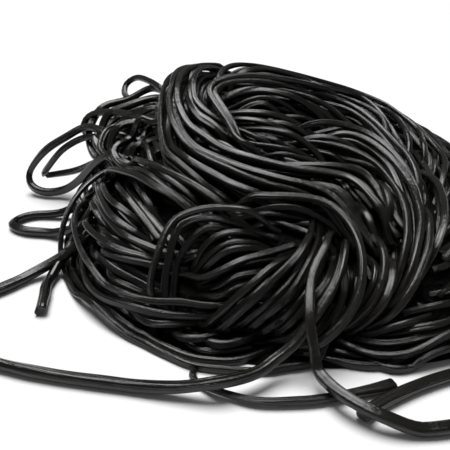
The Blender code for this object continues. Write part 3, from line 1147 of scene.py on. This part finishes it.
@dataclass
class LaceMesh:
    """All laces of one kind, joined in one mesh."""

    kind: LaceKind
    section: LaceSection
    step: float
    uv_length: float = 100.0
    uv_starts: float = 40.0
    seed: int = 7

    def build(self, laces: list[Lace]) -> bpy.types.Object:
        """Make the mesh from arrays.

        The UV map runs once round the lace in u, and v is the distance along it in decimetres, begun
        at a random place, so that no two laces show the same marks.

        Args:
            laces: The laces of this kind.

        Returns:
            The new object.
        """
        chance = np.random.default_rng(self.seed)
        around = self.section.corners
        corners, quads, caps, uvs, cap_uvs, tones = [], [], [], [], [], []
        base = 0
        turn = np.arange(around)
        after = (turn + 1) % around
        for lace in laces:
            rings = self.section.with_ends(self.section.rings(lace, self.step, chance))
            count = len(rings)
            start = base + (np.arange(count - 1) * around)[:, None]
            quads.append(np.stack([start + turn, start + after, start + around + after,
                                   start + around + turn], axis=-1).reshape(-1, 4))
            caps += [base + turn[::-1], base + (count - 1) * around + turn]
            along = np.arange(count) * self.step / self.uv_length + chance.uniform(0.0, self.uv_starts)
            u0, v0 = np.broadcast_arrays(turn / around, along[:-1, None])
            u1, v1 = np.broadcast_arrays(u0 + 1.0 / around, along[1:, None])
            uvs.append(np.stack([u0, v0, u1, v0, u1, v1, u0, v1], axis=-1).reshape(-1, 2))
            cap_uvs += [np.column_stack([turn / around, np.full(around, v)]) for v in (along[0], along[-1])]
            corners.append(rings.reshape(-1, 3))
            tones.append(np.full(count * around, lace.tone))
            base += count * around
        return joined_mesh(self.kind.value, np.vstack(corners), np.vstack(quads), np.array(caps),
                           np.vstack(uvs + cap_uvs), np.concatenate(tones))


def new_object(name: str, data: bpy.types.ID) -> bpy.types.Object:
    """An object that holds a mesh, a light or a camera.

    Args:
        name: Its name.
        data: What it holds.

    Returns:
        The object, linked to the scene.
    """
    thing = bpy.data.objects.new(name, data)
    bpy.context.scene.collection.objects.link(thing)
    return thing


def joined_mesh(name: str, corners: np.ndarray, quads: np.ndarray, caps: np.ndarray, uvs: np.ndarray,
                tones: np.ndarray) -> bpy.types.Object:
    """A mesh object from whole arrays of corners, four-sided faces and many-sided caps.

    Args:
        name: The object's name.
        corners: Points in millimetres.
        quads: Four corner numbers a row.
        caps: The corner numbers of a cap, one cap a row.
        uvs: A UV for each face corner, quads first.
        tones: A number for each corner, the same all over one lace.

    Returns:
        The object, linked to the scene.
    """
    mesh = bpy.data.meshes.new(name)
    mesh.vertices.add(len(corners))
    mesh.vertices.foreach_set("co", (corners * MM).astype(np.float32).ravel())
    loops = np.concatenate([quads.ravel(), caps.ravel()]).astype(np.int32)
    mesh.loops.add(len(loops))
    mesh.loops.foreach_set("vertex_index", loops)
    quad_starts = np.arange(len(quads)) * 4
    cap_starts = len(quads) * 4 + np.arange(len(caps)) * caps.shape[1]
    mesh.polygons.add(len(quads) + len(caps))
    mesh.polygons.foreach_set("loop_start", np.concatenate([quad_starts, cap_starts]).astype(np.int32))
    mesh.polygons.foreach_set("use_smooth", np.arange(len(quads) + len(caps)) < len(quads))
    layer = mesh.uv_layers.new(name=UV_LAYER)
    layer.data.foreach_set("uv", uvs.astype(np.float32).ravel())
    tone = mesh.attributes.new(TONE_LAYER, "FLOAT", "POINT")
    tone.data.foreach_set("value", tones.astype(np.float32))
    mesh.update(calc_edges=True)
    mesh.validate()
    return new_object(name, mesh)


def feed(tree: bpy.types.NodeTree, node: bpy.types.Node, given: dict[str | int, object]) -> None:
    """Give a node's inputs what they take.

    Args:
        tree: The node's tree.
        node: The node.
        given: A socket to link, or a value to set, for inputs by name or by number.
    """
    for name, value in given.items():
        if isinstance(value, bpy.types.NodeSocket):
            tree.links.new(value, node.inputs[name])
        else:
            node.inputs[name].default_value = value


def add_node(tree: bpy.types.NodeTree, kind: str, given: dict[str | int, object] | None = None,
             **settings: object) -> bpy.types.Node:
    """A shader node with its settings and inputs.

    Args:
        tree: The tree that it goes in.
        kind: Its type, without the words that the types of all shader nodes begin with.
        given: A socket to link, or a value to set, for inputs by name or by number.
        settings: Values of the node's own properties.

    Returns:
        The node.
    """
    node = tree.nodes.new("ShaderNode" + kind)
    for name, value in settings.items():
        setattr(node, name, value)
    feed(tree, node, given or {})
    return node


def math_node(tree: bpy.types.NodeTree, operation: str, *values: object) -> bpy.types.NodeSocket:
    """A Math node whose inputs are sockets or numbers.

    Args:
        tree: The tree that it goes in.
        operation: What it does.
        values: A socket to link, or a number to set, for each input.

    Returns:
        Its output socket.
    """
    return add_node(tree, "Math", dict(enumerate(values)), operation=operation).outputs[0]


def bumped(tree: bpy.types.NodeTree,
           *layers: tuple[bpy.types.NodeSocket, float, float]) -> bpy.types.NodeSocket:
    """A normal bumped by heights, one after another.

    Args:
        tree: The tree that the Bump nodes go in.
        layers: A height socket, a distance in metres and a strength for each.

    Returns:
        The normal.
    """
    normal = None
    for height, distance, strength in layers:
        bump = add_node(tree, "Bump", {"Height": height, "Distance": distance, "Strength": strength})
        if normal is not None:
            feed(tree, bump, {"Normal": normal})
        normal = bump.outputs[0]
    return normal


def masked_noise(tree: bpy.types.NodeTree, given: dict[str | int, object], low: float,
                 high: float) -> tuple[bpy.types.NodeSocket, bpy.types.NodeSocket]:
    """Noise, and a mask that rises from 0 to 1 between two of its values.

    Args:
        tree: The tree that the nodes go in.
        given: A socket to link, or a value to set, for the noise's inputs.
        low: The value up to which the mask is 0.
        high: The value from which it is 1.

    Returns:
        The noise and the mask.
    """
    noise = add_node(tree, "TexNoise", given).outputs["Fac"]
    mask = add_node(tree, "MapRange", {"Value": noise, "From Min": low, "From Max": high})
    return noise, mask.outputs[0]


def mixed_colour(tree: bpy.types.NodeTree, share: bpy.types.NodeSocket,
                 *colours: tuple[float, float, float]) -> bpy.types.NodeSocket:
    """A colour between two others.

    Args:
        tree: The tree that the node goes in.
        share: How much of the second colour there is.
        colours: The two colours.

    Returns:
        The mixed colour.
    """
    first, last = ((*colour, 1.0) for colour in colours)
    given = {"Factor": share, "A": first, "B": last}
    return add_node(tree, "Mix", given, data_type="RGBA").outputs["Result"]


def new_material(name: str) -> tuple[bpy.types.Material, bpy.types.NodeTree, bpy.types.Node]:
    """A new material made of nodes.

    Args:
        name: Its name.

    Returns:
        The material, its node tree and its shader.
    """
    made = bpy.data.materials.new(name)
    made.use_nodes = True
    return made, made.node_tree, made.node_tree.nodes["Principled BSDF"]


@dataclass(frozen=True)
class GroupSocket:
    """One socket of a shader node group."""

    name: str
    kind: str = "NodeSocketFloat"
    value: float | None = None


def new_group(name: str, inputs: tuple[GroupSocket, ...], outputs: tuple[GroupSocket, ...]
              ) -> tuple[bpy.types.NodeTree, bpy.types.Node, bpy.types.Node]:
    """An empty shader node group with named sockets.

    Args:
        name: The group's name.
        inputs: Its inputs, with their values.
        outputs: Its outputs.

    Returns:
        The node tree, its input node and its output node.
    """
    tree = bpy.data.node_groups.new(name, "ShaderNodeTree")
    for way, sockets in (("INPUT", inputs), ("OUTPUT", outputs)):
        for socket in sockets:
            made = tree.interface.new_socket(name=socket.name, in_out=way, socket_type=socket.kind)
            if socket.value is not None:
                made.default_value = socket.value
    return tree, tree.nodes.new("NodeGroupInput"), tree.nodes.new("NodeGroupOutput")


@dataclass(frozen=True)
class DrawnLines:
    """Fine lines along a lace, left by the nozzle that it was drawn from."""

    lines: float = 5.0
    stretch: float = 2.0
    detail: float = 2.0
    mask_from: float = 0.35
    mask_to: float = 0.65

    def group(self) -> bpy.types.NodeTree:
        """The node group.

        The UV's u is wound onto a circle, so that the noise has no seam, and v runs along slowly. The
        noise is stretched far along the lace, which turns its spots into lines.

        Returns:
            A group with a height and a mask from 0 to 1.
        """
        tree, given, wanted = new_group(
            "drawn_lines",
            (GroupSocket("UV", "NodeSocketVector"), GroupSocket("Lines", value=self.lines),
             GroupSocket("Stretch", value=self.stretch)),
            (GroupSocket("Height"), GroupSocket("Mask")))
        parts = add_node(tree, "SeparateXYZ", {0: given.outputs["UV"]}).outputs
        angle = math_node(tree, "MULTIPLY", parts["X"], 2.0 * math.pi)
        place = add_node(tree, "CombineXYZ", {
            "X": math_node(tree, "MULTIPLY", math_node(tree, "COSINE", angle), given.outputs["Lines"]),
            "Y": math_node(tree, "MULTIPLY", math_node(tree, "SINE", angle), given.outputs["Lines"]),
            "Z": math_node(tree, "MULTIPLY", parts["Y"], given.outputs["Stretch"])})
        noise, mask = masked_noise(
            tree, {"Vector": place.outputs[0], "Scale": 1.0, "Detail": self.detail},
            self.mask_from, self.mask_to)
        feed(tree, wanted, {"Height": noise, "Mask": mask})
        return tree


@dataclass(frozen=True)
class Patches:
    """Soft patches over a piece, such as where laces have dried or been handled."""

    scale: float = 30.0
    detail: float = 3.0
    mask_from: float = 0.40
    mask_to: float = 0.62

    def group(self) -> bpy.types.NodeTree:
        """The node group.

        Returns:
            A group with a mask from 0 to 1, from noise on Object coordinates.
        """
        tree, given, wanted = new_group(
            "patches", (GroupSocket("Place", "NodeSocketVector"), GroupSocket("Scale", value=self.scale)),
            (GroupSocket("Mask"),))
        mask = masked_noise(
            tree, {"Vector": given.outputs["Place"], "Scale": given.outputs["Scale"], "Detail": self.detail},
            self.mask_from, self.mask_to)[1]
        feed(tree, wanted, {"Mask": mask})
        return tree


@dataclass(frozen=True)
class LicoriceFinish:
    """Black licorice: its body colour, where it shows brown, and how it shines."""

    name: str = "black_licorice"
    black: tuple[float, float, float] = (0.0030, 0.0029, 0.0027)
    brown: tuple[float, float, float] = (0.0085, 0.0078, 0.0058)
    smooth: float = 0.11
    dull: float = 0.25
    dull_lines: float = 0.55
    dull_patches: float = 0.45
    specular: float = 0.5
    line_depth: float = 0.00022
    ripple_depth: float = 0.00012
    ripple_lines: float = 1.2
    ripple_stretch: float = 45.0
    lump_depth: float = 0.0002
    lump_strength: float = 0.5
    lump_scale: float = 260.0

    def material(self, groups: dict[str, bpy.types.NodeTree]) -> bpy.types.Material:
        """The material, with its lines, patches and lumps.

        Args:
            groups: The shared node groups by name.

        Returns:
            The material.
        """
        made, tree, shader = new_material(self.name)
        uv = add_node(tree, "UVMap", uv_map=UV_LAYER)
        place = add_node(tree, "TexCoord")
        tone = add_node(tree, "Attribute", attribute_name=TONE_LAYER)
        lines = add_node(tree, "Group", {"UV": uv.outputs[0]}, node_tree=groups["drawn_lines"])
        ripples = add_node(tree, "Group", {"UV": uv.outputs[0], "Lines": self.ripple_lines,
                                           "Stretch": self.ripple_stretch}, node_tree=groups["drawn_lines"])
        patches = add_node(tree, "Group", {"Place": place.outputs["Object"]}, node_tree=groups["patches"])
        lumps = add_node(tree, "TexNoise", {"Scale": self.lump_scale, "Vector": place.outputs["Object"]})
        browned = math_node(tree, "ADD", patches.outputs["Mask"], tone.outputs["Fac"])
        colour = mixed_colour(tree, math_node(tree, "MULTIPLY", browned, 0.5), self.black, self.brown)
        dulled = math_node(tree, "ADD",
                           math_node(tree, "MULTIPLY", lines.outputs["Mask"], self.dull_lines),
                           math_node(tree, "MULTIPLY", patches.outputs["Mask"], self.dull_patches))
        shine = add_node(tree, "MapRange", {"Value": dulled, "To Min": self.smooth, "To Max": self.dull})
        normal = bumped(tree, (lumps.outputs["Fac"], self.lump_depth, self.lump_strength),
                        (ripples.outputs["Height"], self.ripple_depth, 1.0),
                        (lines.outputs["Height"], self.line_depth, 1.0))
        feed(tree, shader, {"Base Color": colour, "Roughness": shine.outputs[0],
                            "Specular IOR Level": self.specular, "Normal": normal})
        return made


@dataclass
class PackedCore:
    """The mass inside the heap, which shows only as darkness between the laces."""

    form: HeapForm
    name: str = "packed_core"
    inset: float = 12.0
    spokes: int = 120
    rings: int = 34
    ripple: float = 0.8
    ripples_round: float = 9.0
    ripples_out: float = 22.0
    brim_inset: float = 4.0
    brim_height: float = 1.0
    brim_edge: float = 0.8
    floor_gap: float = 0.2
    dark: tuple[float, float, float] = (0.002, 0.002, 0.002)
    light: tuple[float, float, float] = (0.006, 0.0055, 0.005)
    grain_scale: float = 160.0
    grain_depth: float = 0.0015
    roughness: float = 0.9
    specular: float = 0.1

    def build(self) -> bpy.types.Object:
        """Make the closed dome: rings out from a pole on top, a low brim and a flat underside.

        Its height is the outside's less the inset, with low ripples, and nowhere under the brim's.

        Returns:
            The object.
        """
        shares = np.sin(np.linspace(0.0, 0.5 * math.pi, self.rings - 1))[1:]
        insets = np.array([self.inset] * (self.rings - 2) + [self.brim_inset] * 2)[:, None]
        spoke = np.arange(self.spokes)
        turn, share = np.meshgrid(2.0 * math.pi * spoke / self.spokes, np.concatenate([shares, [1.0, 1.0]]))
        plan = self.form.foot_point(turn, share, insets)
        height = self.form.height(plan[..., 0], plan[..., 1], self.inset)
        height = height + self.ripple * np.sin(self.ripples_round * turn + self.ripples_out * share)
        height = np.clip(height, self.brim_height, None)
        height[-2] = self.brim_edge
        height[-1] = self.floor_gap
        middle = np.array(self.form.foot_centre)
        pole = self.form.height(middle[:1], middle[1:], self.inset)[0]
        corners = np.vstack([[[*middle, pole]], np.dstack([plan, height]).reshape(-1, 3),
                             [[*middle, self.floor_gap]]])
        after = (spoke + 1) % self.spokes
        top = np.column_stack([np.zeros(self.spokes, int), 1 + spoke, 1 + after])
        inner = 1 + (np.arange(self.rings - 1) * self.spokes)[:, None]
        sides = np.stack([inner + spoke, inner + self.spokes + spoke, inner + self.spokes + after,
                          inner + after], axis=-1).reshape(-1, 4)
        rim = 1 + (self.rings - 1) * self.spokes
        under = np.column_stack([np.full(self.spokes, len(corners) - 1), rim + after, rim + spoke])
        mesh = bpy.data.meshes.new(self.name)
        mesh.from_pydata((corners * MM).tolist(), [], top.tolist() + sides.tolist() + under.tolist())
        mesh.polygons.foreach_set("use_smooth", np.ones(len(mesh.polygons), bool))
        mesh.update()
        return new_object(self.name, mesh)

    def dress(self, thing: bpy.types.Object, groups: dict[str, bpy.types.NodeTree]) -> None:
        """Give the core a dull, dark licorice with a coarse grain.

        Args:
            thing: The core.
            groups: The shared node groups by name.
        """
        made, tree, shader = new_material("packed_licorice")
        place = add_node(tree, "TexCoord")
        patches = add_node(tree, "Group", {"Scale": self.grain_scale, "Place": place.outputs["Object"]},
                           node_tree=groups["patches"])
        grain = patches.outputs["Mask"]
        feed(tree, shader, {"Base Color": mixed_colour(tree, grain, self.dark, self.light),
                            "Roughness": self.roughness, "Specular IOR Level": self.specular,
                            "Normal": bumped(tree, (grain, self.grain_depth, 1.0))})
        thing.data.materials.append(made)


@dataclass(frozen=True)
class Studio:
    """A white table top, a broad soft light and the camera."""

    camera_place: tuple[float, float, float] = (-0.030, -0.255, 0.130)
    camera_tilt: float = 28.0
    lens: float = 48.0
    sensor: float = 36.0
    nearest: float = 0.01
    floor_half: float = 4.0
    floor_colour: tuple[float, float, float] = (0.86, 0.86, 0.87)
    floor_roughness: float = 0.7
    sky_colour: tuple[float, float, float] = (1.0, 1.0, 1.0)
    sky_strength: float = 0.15
    key_from: tuple[float, float, float] = (-0.14, 0.30, 0.85)
    key_strength: float = 3.6
    key_spread: float = 42.0

    def build(self) -> None:
        """Make the floor, the lights and the camera."""
        self.floor()
        self.lights()
        self.camera()

    def floor(self) -> None:
        """A wide, plain, pale floor."""
        mesh = bpy.data.meshes.new("floor")
        half = self.floor_half
        corners = [(-half, -half, 0.0), (half, -half, 0.0), (half, half, 0.0), (-half, half, 0.0)]
        mesh.from_pydata(corners, [], [(0, 1, 2, 3)])
        made, tree, shader = new_material("white_table")
        feed(tree, shader, {"Base Color": (*self.floor_colour, 1.0), "Roughness": self.floor_roughness})
        mesh.materials.append(made)
        new_object("floor", mesh)

    def lights(self) -> None:
        """A dim white room, seen as plain white, and a broad soft light above and behind, to the left."""
        world = bpy.data.worlds.new("white_room")
        world.use_nodes = True
        tree = world.node_tree
        seen = add_node(tree, "LightPath")
        strength = add_node(tree, "MapRange", {"Value": seen.outputs["Is Camera Ray"],
                                               "To Min": self.sky_strength, "To Max": 1.0})
        feed(tree, tree.nodes["Background"], {"Color": (*self.sky_colour, 1.0),
                                              "Strength": strength.outputs[0]})
        bpy.context.scene.world = world
        bpy.context.scene.view_settings.view_transform = "Standard"
        light = bpy.data.lights.new("key_light", "SUN")
        light.energy = self.key_strength
        light.angle = math.radians(self.key_spread)
        thing = new_object("key_light", light)
        thing.rotation_euler = (-Vector(self.key_from)).to_track_quat("-Z", "Y").to_euler()

    def camera(self) -> None:
        """The camera, which looks down at the heap from in front."""
        data = bpy.data.cameras.new("camera")
        data.lens = self.lens
        data.sensor_width = self.sensor
        data.clip_start = self.nearest
        thing = new_object("camera", data)
        thing.location = self.camera_place
        thing.rotation_euler = (math.radians(90.0 - self.camera_tilt), 0.0, 0.0)
        bpy.context.scene.camera = thing


@dataclass
class LaceHeap:
    """The whole heap: its core, and every lace that shows."""

    form: HeapForm = field(default_factory=HeapForm)
    section: LaceSection = field(default_factory=LaceSection)
    far_section: LaceSection = field(default_factory=lambda: LaceSection(corners=16))
    finish: LicoriceFinish = field(default_factory=LicoriceFinish)
    fill_lifts: tuple[float, ...] = (-1.0, -3.0)
    fill_over: float = 3.0
    upper_belt_lift: float = 1.0
    deep_belt_lift: float = -5.0

    def pile(self) -> Pile:
        """Lay every lace, from the outermost inwards.

        Returns:
            The pile.
        """
        pile = Pile(self.form)
        for strand in LEAVING:
            pile.place(strand)
        for strand in TOPMOST:
            pile.lay_strand(strand)
        for sheaf in SHEAVES + FAR_SHEAVES:
            pile.lay_sheaf(sheaf)
        for lift in self.fill_lifts:
            laid = sum(pile.fill_sheaf(sheaf, self.fill_over, lift) for sheaf in SHEAVES + BETWEEN)
            laid_round = pile.fill_round(UPPER_BELT, lift + self.upper_belt_lift)
            log.info("filled with %d laces in the sheaves and %d round the heap", laid, laid_round)
        log.info("filled with %d deep laces", pile.fill_round(DEEP_BELT, self.deep_belt_lift))
        for strand in UNDERMOST:
            pile.place(strand)
        return pile

    def build(self) -> None:
        """Make and dress the core and the laces of each kind."""
        groups = {"drawn_lines": DrawnLines().group(), "patches": Patches().group()}
        core = PackedCore(self.form)
        thing = core.build()
        core.dress(thing, groups)
        stand_in(thing)
        pile = self.pile()
        material = self.finish.material(groups)
        for kind in LaceKind:
            laces = [lace for lace in pile.laces if lace.kind is kind]
            section = self.far_section if kind in (LaceKind.FAR, LaceKind.ROUND) else self.section
            thing = LaceMesh(kind, section, pile.step).build(laces)
            thing.data.materials.append(material)
            stand_in(thing)
            triangles = sum(len(face.vertices) - 2 for face in thing.data.polygons)
            log.info("%s: %d laces, %d triangles", kind.value, len(laces), triangles)


def stand_in(thing: bpy.types.Object) -> None:
    """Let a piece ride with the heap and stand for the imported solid.

    Args:
        thing: The piece.
    """
    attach(thing, "root")
    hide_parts(HEAP_NODE)


def main() -> None:
    """Build the heap and the studio."""
    logging.basicConfig(level=logging.INFO, format="%(name)s: %(message)s")
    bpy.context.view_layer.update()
    LaceHeap().build()
    Studio().build()


if __name__ == "__main__":
    main()
